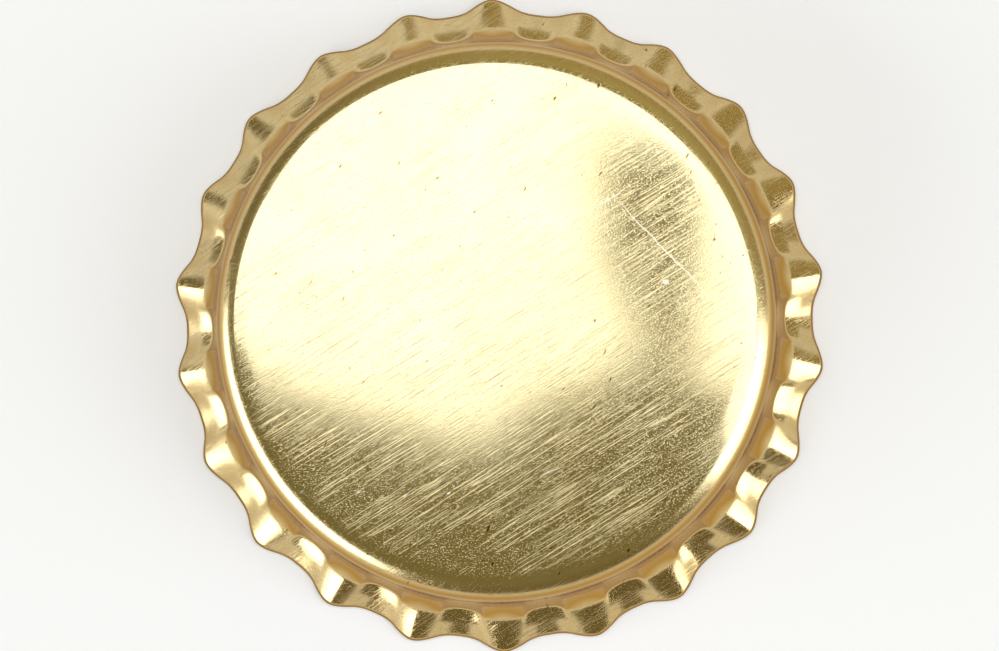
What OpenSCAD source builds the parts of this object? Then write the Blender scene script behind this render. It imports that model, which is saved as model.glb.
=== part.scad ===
// Crown bottle cap: a drawn tinplate shell with a fluted skirt, and the seal moulded inside it.
// Millimetres. The cap stands on its open side: origin at the middle of the rim, +Z up through the panel,
// and the ridge of the first flute along +Y.

/* [Crown shell] */
// Outside diameter over the tips of the flutes
rim_d = 32.1; // [31.2:0.1:33.2]
// Overall height, from the plane it stands on to the top of the panel
crown_h = 6; // [5.5:0.1:7]
// Thickness of the tinplate sheet
sheet_t = 0.235; // [0.18:0.005:0.28]
// Inside diameter of the plain neck band, which passes over the lip of the bottle
neck_inner_d = 26.9; // [26.2:0.05:27.4]
// Height of the plain neck band, between the corner and the flutes
neck_h = 0.5; // [0.3:0.1:0.9]
// Outside radius of the corner between the panel and the neck
corner_r = 1.4; // [1:0.05:1.6]
// Radius of the panel's slight dome
dome_r = 165; // [130:5:300]

/* [Flutes] */
// Number of flutes
flute_count = 22; // [20:1:24]
// Diameter across the valleys between the flutes, at the rim
valley_d = 30.84; // [30.2:0.02:31.2]
// Radius on which a flute's ridge bends out, before it runs straight to the tip
ridge_bend_r = 2.9; // [2.6:0.1:3.3]
// How fast a flute falls away beside its crest at the rim, as a share of its depth in each millimetre
fold_rate = 0.85; // [0.7:0.05:1.05]
// Half width of the rounding along the crest, at the rim
crest_w = 0.4; // [0.3:0.05:0.7]
// How far the tips lift above the plane that the valleys stand on
tip_lift = 0.12; // [0:0.02:0.3]

/* [Pockets between the flutes] */
// Height of the crease where a pocket's upright back turns out into its floor
crease_z = 1.45; // [1.2:0.05:1.8]
// Distance that the pocket's back leans out between the neck and the crease
back_lean = 0.32; // [0.2:0.02:0.4]
// Lean of a pocket's floor away from upright, at the rim
floor_flare = 46; // [40:1:50]
// Width of a pocket's floor at its top, between the feet of its side walls
pocket_top_w = 2.2; // [2:0.05:2.3]
// Width of a pocket's floor at the rim, where the side walls have run out
pocket_rim_w = 0.6; // [0.4:0.1:1]
// Width that a pocket's side wall takes up at its top
side_wall_w = 0.42; // [0.3:0.02:0.5]
// Width that it takes up at the rim
side_wall_rim_w = 1; // [0.8:0.05:1.3]
// Radius of the hollow across a pocket's floor at its top
trough_r = 2.6; // [2.2:0.1:3.5]
// Radius of that hollow at the rim
trough_rim_r = 4; // [3:0.1:6]
// Radius of the two corners of a pocket, at its top
pocket_corner_r = 0.3; // [0.2:0.05:0.4]

/* [Sealing liner] */
// Outside diameter of the sealing ring
liner_d = 25.9; // [25.2:0.1:26.2]
// Inside diameter of the sealing ring
ring_inner_d = 21.2; // [19:0.2:22]
// Depth of the ring's two lips below the panel
lip_depth = 0.9; // [0.7:0.05:1]
// Radius of the rounded lips
lip_r = 0.32; // [0.25:0.01:0.4]
// Thickness of the ring between its lips
web_t = 0.5; // [0.35:0.05:0.6]
// Thickness of the film that covers the middle of the panel
film_t = 0.2; // [0.1:0.05:0.3]
// Gap between the ring and the curved corner of the shell
liner_gap = 0.03; // [0.02:0.01:0.1]

/* [Hidden] */

// Shell
neck_inner_r = neck_inner_d / 2;
neck_r = neck_inner_r + sheet_t;
corner_x = neck_r - corner_r;
corner_z = crown_h - dome_r + sqrt(pow(dome_r - corner_r, 2) - pow(corner_x, 2));
neck_end_z = corner_z - neck_h;

// Skirt: how it is joined to the neck
tongue_h = 0.2;      // the skirt runs this far up inside the neck's wall
tongue_inset = 0.01; // and stays this far inside its two faces

// Skirt: heights and radii of its outer face at the rim
valley_z = sheet_t * sin(floor_flare);
crease_share = (neck_end_z - crease_z) / (neck_end_z - valley_z);
crease_r = neck_r + back_lean;
tip_r = rim_d / 2;
valley_r = valley_d / 2;
half_pitch = 180 / flute_count;
first_ridge = 90;

// Skirt: the lean at which a ridge that bends out on its radius just reaches the tip
ridge_drop = neck_end_z - valley_z - tip_lift;
bend_to_tip = neck_r + ridge_bend_r - tip_r;
ridge_lean = atan2(ridge_drop, bend_to_tip) - acos(ridge_bend_r / norm([ridge_drop, bend_to_tip]));

// Skirt: the grid that it is drawn on. Shares of half a flute, ridge to valley, and of the height.
column_shares = [0, 0.16, 0.3, 0.38, 0.45, 0.68];
row_shares = [0, 0.18, 0.34, 0.47, 0.57, 0.635, 0.7, 0.79, 0.9, 1];
flute_shares = concat(
    column_shares,
    [1],
    [for (i = [len(column_shares) - 1:-1:1]) 2 - column_shares[i]]
);
columns = [
    for (flute = [0:flute_count - 1], share = flute_shares)
        first_ridge + (2 * flute + share) * half_pitch
];
step = 0.001; // spacing of the samples that give the surface's slope

// Liner: the ring hangs from the panel at its middle radius
ring_inner_r = ring_inner_d / 2;
ring_w = liner_d / 2 - ring_inner_r;
ring_top_z = crown_h - dome_r + sqrt(pow(dome_r - sheet_t, 2) - pow(ring_inner_r + ring_w / 2, 2));
web_z = ring_top_z - web_t;
lip_z = ring_top_z - lip_depth;

function mix(a, b, k) = a + (b - a) * k;

function clamp(x) = min(max(x, 0), 1);

// Curve from 0 to 1 that starts with one slope and ends with another
function bend(x, slope_start, slope_end) =
    (3 - 2 * x) * x * x + slope_start * x * (1 - x) * (1 - x) + slope_end * x * x * (x - 1);

// Radius of the ridge of a flute, at a share of the way down: out on a radius, then straight to the tip
function ridge_at(share) =
    let (down = share * ridge_drop)
    down < ridge_bend_r * sin(ridge_lean)
        ? neck_r + ridge_bend_r - sqrt(pow(ridge_bend_r, 2) - pow(down, 2))
        : tip_r - (ridge_drop - down) * tan(ridge_lean);

// Radius of the middle of a pocket: an upright back, a crease, then a floor that turns out to the rim
function valley_at(share) =
    let (
        k = (share - crease_share) / (1 - crease_share),
        rise = valley_r - crease_r,
        end_slope = tan(floor_flare) * (crease_z - valley_z) / rise
    )
    k < 0
        ? neck_r + back_lean * pow(share / crease_share, 1.3)
        : crease_r + rise * bend(k, 2 - end_slope, end_slope);

// Share of the way from the nearest ridge to the middle of the pocket beside it
function off_ridge(angle) =
    let (turn = (angle - first_ridge) / half_pitch)
    abs(turn - 2 * round(turn / 2));

// Radius of the outer face: ridges folded along their crests, with hollow steep-walled pockets between them
function skirt_r(angle, share) =
    let (
        ridge = ridge_at(share),
        valley = valley_at(share),
        pitch_w = half_pitch * PI / 180 * mix(valley, ridge, 0.5),
        from_ridge = off_ridge(angle) * pitch_w,
        crest = crest_w * pow(share, 3),
        fold = fold_rate * pow(share, 1.5) * (norm([from_ridge, crest]) - crest),
        folded = mix(valley, ridge, max(0, 1 - fold)),
        low = pow(max(0, 2 * share - 1), 3),
        hollow = pow(pitch_w - from_ridge, 2) / (2 * mix(trough_r, trough_rim_r, low)),
        bottom = valley + hollow * pow(min(1, share / crease_share), 2),
        past_foot = pitch_w - from_ridge - mix(pocket_top_w, pocket_rim_w, low) / 2,
        into_wall = clamp(past_foot / mix(side_wall_w, side_wall_rim_w, low)),
        into_corner = clamp(past_foot / pocket_corner_r + 1),
        corner = (1 - low) * pocket_corner_r * (1 - sqrt(1 - pow(into_corner, 2))),
        walled = mix(valley, folded, 1 - pow(1 - into_wall, 2.5))
    )
    max(walled, min(bottom + corner, folded));

// Outer face of the skirt, whose tips lift a little off the plane that the valleys stand on
function outer_point(angle, share) =
    let (
        r = skirt_r(angle, share),
        lift = tip_lift * (skirt_r(angle, 1) - valley_r) / (tip_r - valley_r)
    )
    [r * cos(angle), r * sin(angle), mix(neck_end_z, valley_z + lift, share)];

// Direction square to the outer face
function outward(angle, share) =
    let (
        s = min(max(share, step), 1 - step),
        along = outer_point(angle + step * half_pitch, s) - outer_point(angle - step * half_pitch, s),
        down = outer_point(angle, s + step) - outer_point(angle, s - step),
        normal = cross(down, along)
    )
    normal / norm(normal);

function tongue_point(angle, z, r) = [r * cos(angle), r * sin(angle), z];

outer_rows = [
    for (z = [neck_end_z + tongue_h, neck_end_z])
        [for (a = columns) tongue_point(a, z, neck_r - tongue_inset)],
    for (i = [1:len(row_shares) - 1])
        [for (a = columns) outer_point(a, row_shares[i])]
];
inner_rows = [
    for (z = [neck_end_z, neck_end_z + tongue_h])
        [for (a = columns) tongue_point(a, z, neck_inner_r + tongue_inset)]
];
sheet_inner_rows = [
    for (i = [len(row_shares) - 1:-1:1])
        [for (a = columns) outer_point(a, row_shares[i]) - sheet_t * outward(a, row_shares[i])]
];

// A closed band of rows of points: down the outer face, round the rim and up the inner face
module band(rows) {
    n = len(rows[0]);
    count = len(rows);
    polyhedron(
        points = [for (row = rows) each row],
        faces = [
            for (i = [0:count - 1], j = [0:n - 1])
                let (
                    next_i = (i + 1) % count,
                    next_j = (j + 1) % n,
                    a = i * n + j,
                    b = i * n + next_j,
                    c = next_i * n + next_j,
                    d = next_i * n + j
                )
                each [[a, b, c], [a, c, d]]
        ]
    );
}

// Half section of the space under the dome, lowered by some distance and out to some radius
module under_dome(lowered, out_to) {
    intersection() {
        translate([0, crown_h - dome_r]) circle(r = dome_r - lowered, $fn = 1440);
        square([out_to, crown_h]);
    }
}

// Half section of the cup that lies some distance inside the shell's outer face: dome, corner and neck
module cup_section(inset) {
    round_r = corner_r - inset;
    under_dome(inset, corner_x * (dome_r - inset) / (dome_r - corner_r));
    translate([corner_x, corner_z]) circle(r = round_r, $fn = 96);
    square([corner_x + round_r, corner_z]);
}

// Domed panel, rounded corner and plain neck band
module panel_and_neck() {
    rotate_extrude($fn = 96)
        difference() {
            cup_section(0);
            cup_section(sheet_t);
            square([neck_r + 1, neck_end_z]);
        }
}

module crown_shell() {
    color("goldenrod") {
        panel_and_neck();
        band(concat(outer_rows, sheet_inner_rows, inner_rows));
    }
}

// Half section of the sealing ring: a web, with a rounded lip along each edge
module ring_section() {
    translate([ring_inner_r, web_z]) square([ring_w, crown_h - web_z]);
    for (lip_x = [ring_inner_r + lip_r, ring_inner_r + ring_w - lip_r]) {
        translate([lip_x, lip_z + lip_r]) circle(r = lip_r, $fn = 48);
        translate([lip_x - lip_r, lip_z + lip_r]) square([2 * lip_r, crown_h - lip_z - lip_r]);
    }
}

module sealing_liner() {
    color("gainsboro")
        rotate_extrude($fn = 96) {
            intersection() {
                ring_section();
                translate([-liner_gap, 0]) cup_section(sheet_t);
                under_dome(sheet_t, ring_inner_r + ring_w);
            }
            difference() {
                intersection() {
                    under_dome(sheet_t, ring_inner_r + ring_w / 2);
                    cup_section(sheet_t);
                }
                under_dome(sheet_t + film_t, ring_inner_r + ring_w);
            }
        }
}

crown_shell();
sealing_liner();
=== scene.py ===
import math
import random

import bmesh
import bpy
from mathutils import Matrix, Quaternion, Vector


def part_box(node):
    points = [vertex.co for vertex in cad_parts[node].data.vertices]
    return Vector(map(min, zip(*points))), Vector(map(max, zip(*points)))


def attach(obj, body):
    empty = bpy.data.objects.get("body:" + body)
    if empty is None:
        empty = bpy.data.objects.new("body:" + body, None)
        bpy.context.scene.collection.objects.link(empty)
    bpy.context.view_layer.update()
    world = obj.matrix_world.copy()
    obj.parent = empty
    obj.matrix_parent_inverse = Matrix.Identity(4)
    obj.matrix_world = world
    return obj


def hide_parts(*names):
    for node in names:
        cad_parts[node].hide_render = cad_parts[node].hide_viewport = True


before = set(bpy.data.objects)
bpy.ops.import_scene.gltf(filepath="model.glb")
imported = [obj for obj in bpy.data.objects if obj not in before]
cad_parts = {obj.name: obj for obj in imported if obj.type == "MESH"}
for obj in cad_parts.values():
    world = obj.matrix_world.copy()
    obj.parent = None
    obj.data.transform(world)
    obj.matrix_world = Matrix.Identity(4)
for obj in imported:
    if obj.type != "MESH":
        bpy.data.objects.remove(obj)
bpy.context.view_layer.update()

MM = 0.001
rng = random.Random(22)


# ---------------------------------------------------------------- sizes

shell_low, shell_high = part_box("crown_shell")
tip_r = shell_high.y
crown_h = shell_high.z

sheet_t = 0.235 * MM
neck_r = 13.685 * MM
neck_h = 0.5 * MM
corner_r = 1.4 * MM
dome_r = 165 * MM

flute_count = 22
valley_r = 15.42 * MM
tip_lift = 0.12 * MM
ridge_bend_r = 2.9 * MM
floor_flare = math.radians(46)
fold_rate = 0.85 / MM
crest_w = 0.4 * MM
crease_z = 1.45 * MM
back_lean = 0.32 * MM
pocket_top_w = 2.2 * MM
pocket_rim_w = 0.6 * MM
side_wall_w = 0.42 * MM
side_wall_rim_w = 1 * MM
trough_r = 2.6 * MM
trough_rim_r = 4 * MM
pocket_corner_r = 0.3 * MM

# The corner's circle touches both the dome and the neck band.
corner_x = neck_r - corner_r
corner_z = crown_h - dome_r + math.sqrt((dome_r - corner_r) ** 2 - corner_x**2)
dome_edge_tilt = math.asin(corner_x / (dome_r - corner_r))
neck_end_z = corner_z - neck_h

valley_z = sheet_t * math.sin(floor_flare)
crease_r = neck_r + back_lean
crease_share = (neck_end_z - crease_z) / (neck_end_z - valley_z)
half_pitch = math.pi / flute_count

# The lean at which a ridge that bends out on its radius just reaches the tip.
ridge_drop = neck_end_z - valley_z - tip_lift
bend_to_tip = neck_r + ridge_bend_r - tip_r
ridge_lean = math.atan2(ridge_drop, bend_to_tip) - math.acos(
    ridge_bend_r / math.hypot(ridge_drop, bend_to_tip)
)

# How far the tips stray from even, in mm, and how far up and round each one bends the skirt with it.
tip_stray_in = 0.06
tip_stray_out = 0.05
tip_stray_side = 0.13
stray_reach = 2.1 * MM

# What counts as the same place, and the same share, when points are picked.
same_place = 0.01 * MM
same_share = 0.01


# ---------------------------------------------------------------- modelling by hand, in code

def deselect_all():
    bpy.ops.object.select_all(action="DESELECT")


def start_editing(piece):
    deselect_all()
    piece.select_set(True)
    bpy.context.view_layer.objects.active = piece
    bpy.ops.object.mode_set(mode="EDIT")


def stop_editing():
    bpy.ops.object.mode_set(mode="OBJECT")


def select_points(test):
    """Selects the points of the mesh in edit mode whose place passes the test."""
    mesh = bmesh.from_edit_mesh(bpy.context.object.data)
    for point in mesh.verts:
        point.select = test(point.co)
    mesh.select_flush_mode()
    bmesh.update_edit_mesh(bpy.context.object.data)


def name_piece(name):
    piece = bpy.context.object
    piece.name = name
    piece.data.name = name
    return piece


def apply_modifier(piece, kind, **settings):
    modifier = piece.modifiers.new(kind.lower(), kind)
    for key, value in settings.items():
        setattr(modifier, key, value)
    deselect_all()
    piece.select_set(True)
    bpy.context.view_layer.objects.active = piece
    bpy.ops.object.modifier_apply(modifier=modifier.name)


# ---------------------------------------------------------------- crown shell

def mix(a, b, k):
    return a + (b - a) * k


def clamp(x):
    return min(max(x, 0), 1)


def bend(x, slope_start, slope_end):
    return (3 - 2 * x) * x * x + slope_start * x * (1 - x) ** 2 + slope_end * x * x * (x - 1)


def ridge_at(share):
    """Radius of a ridge, at a share of the way down: out on a radius, then straight to the tip."""
    down = share * ridge_drop
    if down < ridge_bend_r * math.sin(ridge_lean):
        return neck_r + ridge_bend_r - math.sqrt(ridge_bend_r**2 - down**2)
    return tip_r - (ridge_drop - down) * math.tan(ridge_lean)


def valley_at(share):
    k = (share - crease_share) / (1 - crease_share)
    if k < 0:
        return neck_r + back_lean * (share / crease_share) ** 1.3
    rise = valley_r - crease_r
    end_slope = math.tan(floor_flare) * (crease_z - valley_z) / rise
    return crease_r + rise * bend(k, 2 - end_slope, end_slope)


def skirt_r(column_share, share):
    """Radius of the outer face: ridges folded along their crests, with hollow pockets between them."""
    ridge, valley = ridge_at(share), valley_at(share)
    pitch_w = half_pitch * mix(valley, ridge, 0.5)
    from_ridge = column_share * pitch_w
    crest = crest_w * share**3
    fold = fold_rate * share**1.5 * (math.hypot(from_ridge, crest) - crest)
    folded = mix(valley, ridge, max(0, 1 - fold))
    low = max(0, 2 * share - 1) ** 3
    hollow = (pitch_w - from_ridge) ** 2 / (2 * mix(trough_r, trough_rim_r, low))
    bottom = valley + hollow * min(1, share / crease_share) ** 2
    past_foot = pitch_w - from_ridge - mix(pocket_top_w, pocket_rim_w, low) / 2
    into_wall = clamp(past_foot / mix(side_wall_w, side_wall_rim_w, low))
    into_corner = clamp(past_foot / pocket_corner_r + 1)
    corner = (1 - low) * pocket_corner_r * (1 - math.sqrt(1 - into_corner**2))
    walled = mix(valley, folded, 1 - (1 - into_wall) ** 2.5)
    return max(walled, min(bottom + corner, folded))


def rim_wave(column_share):
    """How far the rim stands out, from 0 in a pocket to 1 on a ridge."""
    return (skirt_r(column_share, 1) - valley_r) / (tip_r - valley_r)


# Columns of points in half a flute, as shares of the way from the ridge to the middle of the pocket.
column_shares = [0, 0.12, 0.23, 0.31, 0.355, 0.39, 0.425, 0.47, 0.58, 0.79, 1]
half_columns = len(column_shares) - 1
columns_per_flute = 2 * half_columns
skirt_shares = [0.14, 0.28, 0.41, 0.52, 0.59, 0.62, 0.64, 0.67, 0.72, 0.79, 0.86, 0.93, 1]


def ridge_share(co):
    """How far round a point stands from its ridge: -1 and 1 are the middles of the pockets beside it."""
    turn = math.atan2(co.x, co.y) / (2 * half_pitch)
    return 2 * (turn - math.floor(turn + 0.5))


def column_class(co):
    """The column, counted from the ridge, that a point stands on."""
    share = abs(ridge_share(co))
    return min(range(half_columns + 1), key=lambda i: abs(column_shares[i] - share))


# A ring of points at the lower edge of the neck, with one point on every ridge.
deselect_all()
bpy.ops.mesh.primitive_circle_add(
    vertices=flute_count * columns_per_flute, radius=neck_r, location=(0, 0, neck_end_z)
)
shell = name_piece("crown_shell_sheet")
deselect_all()
shell.select_set(True)
bpy.ops.object.transform_apply(location=True, rotation=False, scale=False)

# The points are first gathered where the pockets' side walls will stand.
start_editing(shell)
for away in range(1, half_columns):
    shift = (column_shares[away] - away / half_columns) * half_pitch
    for side in (-1, 1):
        select_points(lambda co: abs(ridge_share(co) * half_columns - side * away) < same_share)
        bpy.ops.transform.rotate(value=side * shift, orient_axis="Z", center_override=(0, 0, 0))

# The neck band, the rounded corner and the domed panel, each ring drawn up and in from the one before.
select_points(lambda co: True)
ring_r, ring_z = neck_r, neck_end_z
profile = [(neck_r, corner_z - 0.5 * neck_h), (neck_r, corner_z)]
corner_steps = 7
panel_rings_mm = [11.7, 10.2, 7.5, 4.0, 0.9]
for i in range(1, corner_steps + 1):
    tilt = mix(math.pi / 2, dome_edge_tilt, i / corner_steps)
    profile.append((corner_x + corner_r * math.sin(tilt), corner_z + corner_r * math.cos(tilt)))
for ring_mm in panel_rings_mm:
    r = ring_mm * MM
    profile.append((r, crown_h - dome_r + math.sqrt(dome_r**2 - r**2)))
for r, z in profile:
    bpy.ops.mesh.extrude_region_move(TRANSFORM_OT_translate={"value": (0, 0, z - ring_z)})
    k = r / ring_r
    bpy.ops.transform.resize(value=(k, k, 1), center_override=(0, 0, z))
    ring_r, ring_z = r, z

# The skirt, drawn down row by row. In each row the like columns of all flutes are pressed in or out
# at once.
select_points(lambda co: abs(co.z - neck_end_z) < same_place)
row_z = neck_end_z
column_r = [neck_r] * (half_columns + 1)
column_lift = [0] * (half_columns + 1)
for share in skirt_shares:
    next_z = mix(neck_end_z, valley_z, share)
    bpy.ops.mesh.extrude_region_move(TRANSFORM_OT_translate={"value": (0, 0, next_z - row_z)})
    mesh = bmesh.from_edit_mesh(shell.data)
    row = [point for point in mesh.verts if point.select]
    for away in range(half_columns + 1):
        r = skirt_r(column_shares[away], share)
        lift = tip_lift * rim_wave(column_shares[away]) * share
        for point in row:
            point.select = column_class(point.co) == away
        mesh.select_flush_mode()
        grow = r / column_r[away]
        bpy.ops.transform.resize(value=(grow, grow, 1), center_override=(0, 0, 0))
        bpy.ops.transform.translate(value=(0, 0, lift - column_lift[away]))
        column_r[away], column_lift[away] = r, lift
    for point in row:
        point.select = True
    mesh.select_flush_mode()
    row_z = next_z

# No two flutes are quite alike: each tip stands a little further out or in, and to one side.
for flute in range(flute_count):
    turn = flute * 2 * half_pitch
    select_points(
        lambda co: round(math.atan2(co.x, co.y) / (2 * half_pitch)) % flute_count == flute
        and abs(ridge_share(co)) < same_share
        and co.z < valley_z + tip_lift + same_place
    )
    outward = rng.uniform(-tip_stray_in, tip_stray_out) * MM
    sideways = rng.uniform(-tip_stray_side, tip_stray_side) * MM
    shift = Matrix.Rotation(-turn, 3, "Z") @ Vector((sideways, outward, 0))
    bpy.ops.transform.translate(
        value=shift,
        use_proportional_edit=True,
        use_proportional_connected=True,
        proportional_edit_falloff="SMOOTH",
        proportional_size=stray_reach,
    )

bpy.ops.mesh.select_all(action="SELECT")
bpy.ops.mesh.normals_make_consistent(inside=False)
stop_editing()

apply_modifier(shell, "SUBSURF", levels=1, render_levels=1)

# The small hole left in the middle of the panel is closed on a single point.
start_editing(shell)
select_points(lambda co: math.hypot(co.x, co.y) < ring_r + same_place)
bpy.ops.mesh.extrude_region_move(TRANSFORM_OT_translate={"value": (0, 0, crown_h - ring_z)})
bpy.ops.mesh.merge(type="CENTER")
stop_editing()

apply_modifier(shell, "SOLIDIFY", thickness=sheet_t, offset=-1, use_even_offset=True)
deselect_all()
shell.select_set(True)
bpy.ops.object.shade_smooth()


# ---------------------------------------------------------------- materials

def linear(hex_colour):
    """An sRGB hex colour as the linear one that a shader takes."""
    parts = [int(hex_colour[i:i + 2], 16) / 255 for i in (1, 3, 5)]
    return [p / 12.92 if p <= 0.04045 else ((p + 0.055) / 1.055) ** 2.4 for p in parts] + [1]


def add_node(tree, kind, inputs=None, **settings):
    """Adds a node with its settings. An input is a value, or the output of another node to link to it."""
    node = tree.nodes.new(kind)
    for key, value in settings.items():
        setattr(node, key, value)
    for key, value in (inputs or {}).items():
        if isinstance(value, bpy.types.NodeSocket):
            tree.links.new(value, node.inputs[key])
        else:
            node.inputs[key].default_value = value
    return node


# Tinplate: thin steel sheet with a bright flow-melted tin coat, under a baked yellow lacquer.
# The tin mirrors the room like polished metal. The lacquer turns it gold, and its surface has a fine
# pebble. The deeper colour on the steep skirt is painted shade. Caps rub on each other in the hopper,
# which draws hairlines in it, mostly one way here.
gold = bpy.data.materials.new("gold_lacquered_tinplate")
gold.use_nodes = True
tree = gold.node_tree
shader = tree.nodes["Principled BSDF"]
shader.inputs["Metallic"].default_value = 1
place = add_node(tree, "ShaderNodeTexCoord")
rub_angle = math.radians(31)

# Pebble of the baked lacquer, about 0.06 mm across, with sharper dents here and there.
pebble = add_node(
    tree, "ShaderNodeTexNoise", {"Vector": place.outputs["Object"], "Scale": 1 / (0.06 * MM), "Detail": 1}
)
dents = add_node(
    tree,
    "ShaderNodeMapRange",
    {"Value": pebble.outputs["Fac"], "From Min": 0.58, "From Max": 0.78},
    interpolation_type="SMOOTHSTEP",
)

# Hairlines some 3 mm long, denser in patches. Real ones are down to a hundredth of a millimetre wide,
# these are drawn at 0.055.
hairline_place = add_node(
    tree,
    "ShaderNodeMapping",
    {
        "Vector": place.outputs["Object"],
        "Rotation": (0, 0, rub_angle),
        "Scale": (2.8 * MM, 0.055 * MM, 1 * MM),
    },
    vector_type="TEXTURE",
)
hairlines = add_node(
    tree, "ShaderNodeTexNoise", {"Vector": hairline_place.outputs["Vector"], "Scale": 1, "Detail": 2}
)
deep_hairlines = add_node(
    tree,
    "ShaderNodeMapRange",
    {"Value": hairlines.outputs["Fac"], "From Min": 0.55, "From Max": 0.7},
    interpolation_type="SMOOTHSTEP",
)
rubbed_place = add_node(
    tree,
    "ShaderNodeMapping",
    {
        "Vector": place.outputs["Object"],
        "Rotation": (0, 0, rub_angle),
        "Scale": (5 * MM, 1.5 * MM, 3 * MM),
    },
    vector_type="TEXTURE",
)
rubbed = add_node(
    tree, "ShaderNodeTexNoise", {"Vector": rubbed_place.outputs["Vector"], "Scale": 1, "Detail": 1}
)
rubbed_patches = add_node(
    tree,
    "ShaderNodeMapRange",
    {"Value": rubbed.outputs["Fac"], "From Min": 0.34, "From Max": 0.56, "To Min": 0.25},
    interpolation_type="SMOOTHSTEP",
)
wear = add_node(
    tree,
    "ShaderNodeMath",
    {0: deep_hairlines.outputs["Result"], 1: rubbed_patches.outputs["Result"]},
    operation="MULTIPLY",
)

# The panel isn't perfectly even either: waves some 3 mm across bend the edges of what it mirrors.
waves = add_node(
    tree, "ShaderNodeTexNoise", {"Vector": place.outputs["Object"], "Scale": 1 / (3 * MM), "Detail": 0}
)
wave_bump = add_node(
    tree, "ShaderNodeBump", {"Height": waves.outputs["Fac"], "Strength": 1, "Distance": 0.003 * MM}
)
pebble_bump = add_node(
    tree,
    "ShaderNodeBump",
    {
        "Height": pebble.outputs["Fac"],
        "Strength": 1,
        "Distance": 0.001 * MM,
        "Normal": wave_bump.outputs["Normal"],
    },
)
dent_bump = add_node(
    tree,
    "ShaderNodeBump",
    {
        "Height": dents.outputs["Result"],
        "Strength": 1,
        "Distance": 0.0034 * MM,
        "Normal": pebble_bump.outputs["Normal"],
    },
    invert=True,
)
wear_bump = add_node(
    tree,
    "ShaderNodeBump",
    {
        "Height": wear.outputs["Value"],
        "Strength": 1,
        "Distance": 0.0022 * MM,
        "Normal": dent_bump.outputs["Normal"],
    },
    invert=True,
)
tree.links.new(wear_bump.outputs["Normal"], shader.inputs["Normal"])

# Marks through the lacquer to the bare tin: x and y of the middle, length and width, in mm, and the
# angle. The first is one long scratch across the rub, the last five are specks.
bare_marks = [
    (8.2, 3.4, 6.8, 0.055, -47),
    (5.4, 5.6, 2.4, 0.06, 33),
    (9.9, 6.4, 1.0, 0.06, -76),
    (2.6, -7.4, 1.3, 0.05, 20),
    (-9.5, -8.2, 0.34, 0.15, 35),
    (-6.8, -8.25, 0.3, 0.13, 35),
    (-4.5, -8.4, 0.34, 0.13, 35),
    (-2.4, -8.35, 0.26, 0.12, 35),
    (8.3, 1.7, 0.34, 0.22, 10),
]

# The marks wander a little off their straight lines.
wander_mm = 0.3
wander = add_node(
    tree, "ShaderNodeTexNoise", {"Vector": place.outputs["Object"], "Scale": 1 / (1.5 * MM), "Detail": 2}
)
wandering = add_node(
    tree,
    "ShaderNodeVectorMath",
    {0: wander.outputs["Color"], 1: (wander_mm * MM, wander_mm * MM, 0), 2: place.outputs["Object"]},
    operation="MULTIPLY_ADD",
)

# How far off the nearest mark is, in half lengths and half widths of that mark. It starts out far.
nearest = 1000
for x, y, length, width, angle in bare_marks:
    mark_place = add_node(
        tree,
        "ShaderNodeMapping",
        {
            "Vector": wandering.outputs["Vector"],
            "Location": ((x + wander_mm / 2) * MM, (y + wander_mm / 2) * MM, crown_h),
            "Rotation": (0, 0, math.radians(angle)),
            "Scale": (length / 2 * MM, width / 2 * MM, 3 * MM),
        },
        vector_type="TEXTURE",
    )
    from_mark = add_node(
        tree, "ShaderNodeVectorMath", {0: mark_place.outputs["Vector"]}, operation="LENGTH"
    )
    nearer = add_node(
        tree, "ShaderNodeMath", {0: nearest, 1: from_mark.outputs["Value"]}, operation="MINIMUM"
    )
    nearest = nearer.outputs["Value"]

# The pebble breaks the marks' edges up.
broken = add_node(
    tree,
    "ShaderNodeMath",
    {0: pebble.outputs["Fac"], 1: 2, 2: nearest},
    operation="MULTIPLY_ADD",
)
bare = add_node(
    tree,
    "ShaderNodeMapRange",
    {"Value": broken.outputs["Value"], "From Min": 2.05, "From Max": 1.55, "To Max": 0.65},
)

# Sparse pits with dirt in them, about 0.2 mm long.
pit_place = add_node(
    tree,
    "ShaderNodeMapping",
    {
        "Vector": place.outputs["Object"],
        "Rotation": (0, 0, rub_angle + 0.5),
        "Scale": (0.5 * MM, 0.22 * MM, 1 * MM),
    },
    vector_type="TEXTURE",
)
pit_noise = add_node(
    tree, "ShaderNodeTexNoise", {"Vector": pit_place.outputs["Vector"], "Scale": 1, "Detail": 1}
)
pits = add_node(
    tree, "ShaderNodeMapRange", {"Value": pit_noise.outputs["Fac"], "From Min": 0.745, "From Max": 0.8}
)

# The lacquer's colour: uneven by a shade. The deeper, darker colour on the steep skirt is painted shade:
# it stands in for the dim reflections and the gold-on-gold bounce that the flutes mirror.
uneven = add_node(
    tree, "ShaderNodeTexNoise", {"Vector": place.outputs["Object"], "Scale": 1 / (4 * MM), "Detail": 3}
)
panel_colour = add_node(
    tree,
    "ShaderNodeMix",
    {"Factor": uneven.outputs["Fac"], "A": linear("#F2E3B0"), "B": linear("#FAF2CB")},
    data_type="RGBA",
)
facing = add_node(tree, "ShaderNodeSeparateXYZ", {"Vector": place.outputs["Normal"]})
skirt_painted_shade = add_node(
    tree, "ShaderNodeMapRange", {"Value": facing.outputs["Z"], "From Min": 0.95, "From Max": 0.5}
)
# Painted shade: the steep skirt gets a darker colour than the panel.
lacquer = add_node(
    tree,
    "ShaderNodeMix",
    {"Factor": skirt_painted_shade.outputs["Result"], "A": panel_colour.outputs["Result"], "B": linear("#B0842C")},
    data_type="RGBA",
)
dirty = add_node(
    tree,
    "ShaderNodeMix",
    {"Factor": pits.outputs["Result"], "A": lacquer.outputs["Result"], "B": linear("#96722F")},
    data_type="RGBA",
)
colour = add_node(
    tree,
    "ShaderNodeMix",
    {"Factor": bare.outputs["Result"], "A": dirty.outputs["Result"], "B": linear("#FFFEFA")},
    data_type="RGBA",
)
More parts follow.
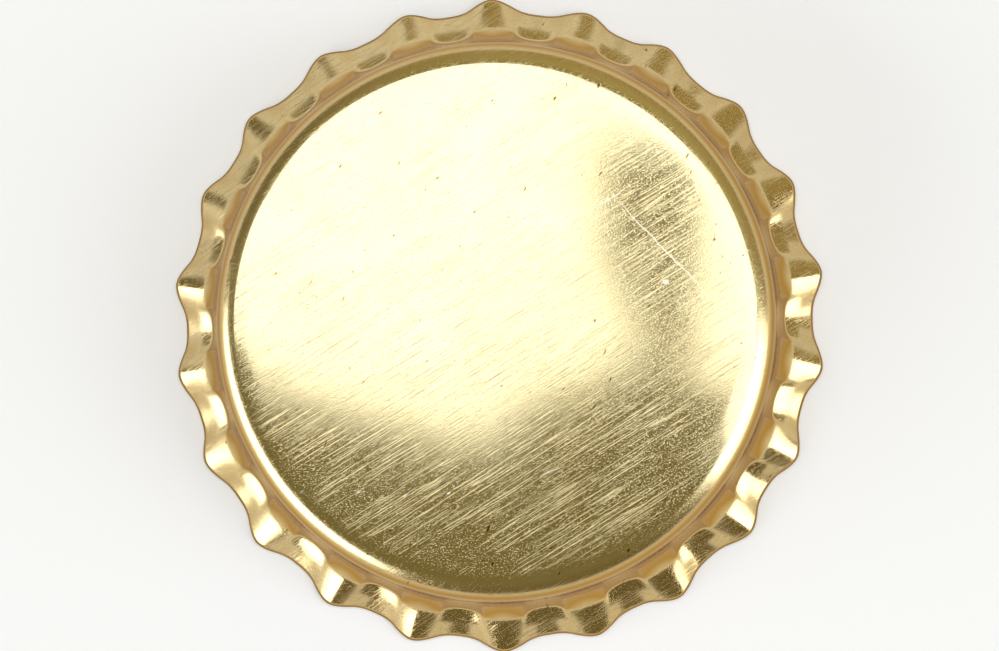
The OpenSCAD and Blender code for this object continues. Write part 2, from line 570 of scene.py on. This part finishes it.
tree.links.new(colour.outputs["Result"], shader.inputs["Base Color"])

# The coat is duller where the sheet is stretched: most on the corner, and less down in the flutes.
# The bare tin in the marks is dullest of all.
position = add_node(tree, "ShaderNodeSeparateXYZ", {"Vector": place.outputs["Object"]})
dulled = add_node(
    tree,
    "ShaderNodeMapRange",
    {
        "Value": position.outputs["Z"],
        "From Min": crown_h - 2 * MM,
        "From Max": crown_h - 1.2 * MM,
        "To Min": 0.12,
        "To Max": 0.2,
    },
)
stretched = add_node(
    tree,
    "ShaderNodeMapRange",
    {
        "Value": facing.outputs["Z"],
        "From Min": 0.99,
        "From Max": 0.9,
        "To Min": 0.075,
        "To Max": dulled.outputs["Result"],
    },
    interpolation_type="SMOOTHSTEP",
)
roughness = add_node(
    tree,
    "ShaderNodeMapRange",
    {"Value": bare.outputs["Result"], "To Min": stretched.outputs["Result"], "To Max": 0.42},
)
tree.links.new(roughness.outputs["Result"], shader.inputs["Roughness"])
shell.data.materials.append(gold)

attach(shell, "root")
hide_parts("crown_shell")

# Liner compound: soft milky polymer moulded hot in the cap, so it is smooth with a satin sheen.
compound = bpy.data.materials.new("pvc_free_liner_compound")
compound.use_nodes = True
tree = compound.node_tree
shader = tree.nodes["Principled BSDF"]
place = add_node(tree, "ShaderNodeTexCoord")
cloud = add_node(
    tree, "ShaderNodeTexNoise", {"Vector": place.outputs["Object"], "Scale": 1 / (2.5 * MM), "Detail": 2}
)
milk = add_node(
    tree,
    "ShaderNodeMix",
    {"Factor": cloud.outputs["Fac"], "A": linear("#D6D4CB"), "B": linear("#E6E5DF")},
    data_type="RGBA",
)
tree.links.new(milk.outputs["Result"], shader.inputs["Base Color"])
grain = add_node(
    tree, "ShaderNodeTexNoise", {"Vector": place.outputs["Object"], "Scale": 1 / (0.15 * MM), "Detail": 1}
)
grain_bump = add_node(
    tree, "ShaderNodeBump", {"Height": grain.outputs["Fac"], "Strength": 1, "Distance": 0.004 * MM}
)
tree.links.new(grain_bump.outputs["Normal"], shader.inputs["Normal"])
shader.inputs["Roughness"].default_value = 0.45
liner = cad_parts["sealing_liner"]
liner.data.materials.clear()
liner.data.materials.append(compound)


# ---------------------------------------------------------------- floor

deselect_all()
bpy.ops.mesh.primitive_plane_add(size=4, location=(0, 0, -0.01 * MM))
floor = name_piece("floor")
# White paper: matt, with faint fibres. A glow that the camera, mirrors and glass see, but that lights
# nothing matt, brings it near to white.
paper = bpy.data.materials.new("white_paper")
paper.use_nodes = True
tree = paper.node_tree
shader = tree.nodes["Principled BSDF"]
place = add_node(tree, "ShaderNodeTexCoord")
fibres = add_node(
    tree, "ShaderNodeTexNoise", {"Vector": place.outputs["Object"], "Scale": 1 / (0.4 * MM), "Detail": 3}
)
white = add_node(
    tree,
    "ShaderNodeMix",
    {"Factor": fibres.outputs["Fac"], "A": linear("#DFE5F0"), "B": linear("#E5EAF4")},
    data_type="RGBA",
)
tree.links.new(white.outputs["Result"], shader.inputs["Base Color"])
fibre_bump = add_node(
    tree, "ShaderNodeBump", {"Height": fibres.outputs["Fac"], "Strength": 0.3, "Distance": 0.01 * MM}
)
tree.links.new(fibre_bump.outputs["Normal"], shader.inputs["Normal"])
shader.inputs["Roughness"].default_value = 0.9
shader.inputs["Specular IOR Level"].default_value = 0
paper_glow = 0.28
ray = add_node(tree, "ShaderNodeLightPath")
seen = ray.outputs["Is Camera Ray"]
for kind in ["Is Glossy Ray", "Is Transmission Ray"]:
    either = add_node(tree, "ShaderNodeMath", {0: seen, 1: ray.outputs[kind]}, operation="MAXIMUM")
    seen = either.outputs["Value"]
glow = add_node(tree, "ShaderNodeMath", {0: seen, 1: paper_glow}, operation="MULTIPLY")
shader.inputs["Emission Color"].default_value = linear("#FFFFFF")
tree.links.new(glow.outputs["Value"], shader.inputs["Emission Strength"])
floor.data.materials.append(paper)


# ---------------------------------------------------------------- light

def softbox(name, centre, size, turn, brightness, aim=None):
    """An area lamp that looks down, or at its aim. At a brightness of 1 a mirror shows it as white."""
    deselect_all()
    bpy.ops.object.light_add(type="AREA", location=centre)
    lamp = bpy.context.object
    lamp.name = name
    lamp.data.shape = "RECTANGLE"
    lamp.data.size, lamp.data.size_y = size
    lamp.data.energy = brightness * math.pi * size[0] * size[1]
    direction = Vector(aim) - Vector(centre) if aim else Vector((0, 0, -1))
    upright = direction.to_track_quat("-Z", "Y") if aim else Quaternion()
    lamp.rotation_euler = (upright @ Quaternion((0, 0, 1), math.radians(turn))).to_euler()


# Softboxes overhead, whose edges the panel mirrors: name, x and y of the middle, width, depth and turn.
overhead_h = 1
overhead_brightness = 1.6
overhead_boxes = [
    ("left", -0.316, 0.305, 0.72, 0.52, -17),
    ("far_left", -0.56, 0.215, 0.5, 0.38, 0),
    ("middle", -0.018, 0.15, 0.11, 0.3, 0),
    ("middle_front", -0.018, 0.04, 0.145, 0.11, 24),
    ("back", 0.15, 0.29, 0.3, 0.22, 0),
    ("right", 0.46, 0.09, 0.7, 0.25, -5),
    ("right_back", 0.45, 0.28, 0.5, 0.26, 18),
    ("far_right", 0.52, -0.09, 0.7, 0.3, -30),
]
for name, x, y, width, depth, turn in overhead_boxes:
    softbox("softbox_" + name, (x, y, overhead_h), (width, depth), turn, overhead_brightness)

# Two more stand low, for the corner and the skirt.
softbox("softbox_low_left", (-0.75, -0.40, 0.23), (1.12, 0.5), 12, 3.4, aim=(0, 0, 0.23))
softbox("softbox_low_right", (0.80, -0.26, 0.45), (0.55, 1.0), 0, 3.2, aim=(0, 0, 0.45))

# The room: dim and warm, brighter towards the window side.
window_side = math.radians(60)
room = bpy.data.worlds.new("studio_room")
bpy.context.scene.world = room
room.use_nodes = True
tree = room.node_tree
direction = add_node(tree, "ShaderNodeTexCoord")
towards = add_node(
    tree,
    "ShaderNodeVectorMath",
    {0: direction.outputs["Generated"], 1: (math.cos(window_side), math.sin(window_side), 0)},
    operation="DOT_PRODUCT",
)
grey = add_node(
    tree,
    "ShaderNodeMapRange",
    {
        "Value": towards.outputs["Value"],
        "From Min": 0.1,
        "From Max": 0.95,
        "To Min": 0.18,
        "To Max": 0.4,
    },
    interpolation_type="SMOOTHSTEP",
)
tone = add_node(
    tree, "ShaderNodeVectorMath", {0: (1, 0.79, 0.32), "Scale": grey.outputs["Result"]}, operation="SCALE"
)
tree.links.new(tone.outputs["Vector"], tree.nodes["Background"].inputs["Color"])


# ---------------------------------------------------------------- camera

view_width = 49.2 * MM
eye = Vector((17, -18, 400)) * MM
camera_data = bpy.data.cameras.new("camera")
camera = bpy.data.objects.new("camera", camera_data)
bpy.context.scene.collection.objects.link(camera)
camera.location = eye
back = eye.normalized()
right = Vector((0, 1, 0)).cross(back).normalized()
up = back.cross(right)
roll = math.radians(1)
upright = Matrix((right, up, back)).transposed() @ Matrix.Rotation(-roll, 3, "Z")
camera.rotation_euler = upright.to_euler()
camera_data.sensor_width = 36
camera_data.lens = camera_data.sensor_width * eye.length / view_width
camera_data.clip_start = 0.01
bpy.context.scene.camera = camera
bpy.context.scene.view_settings.view_transform = "Standard"
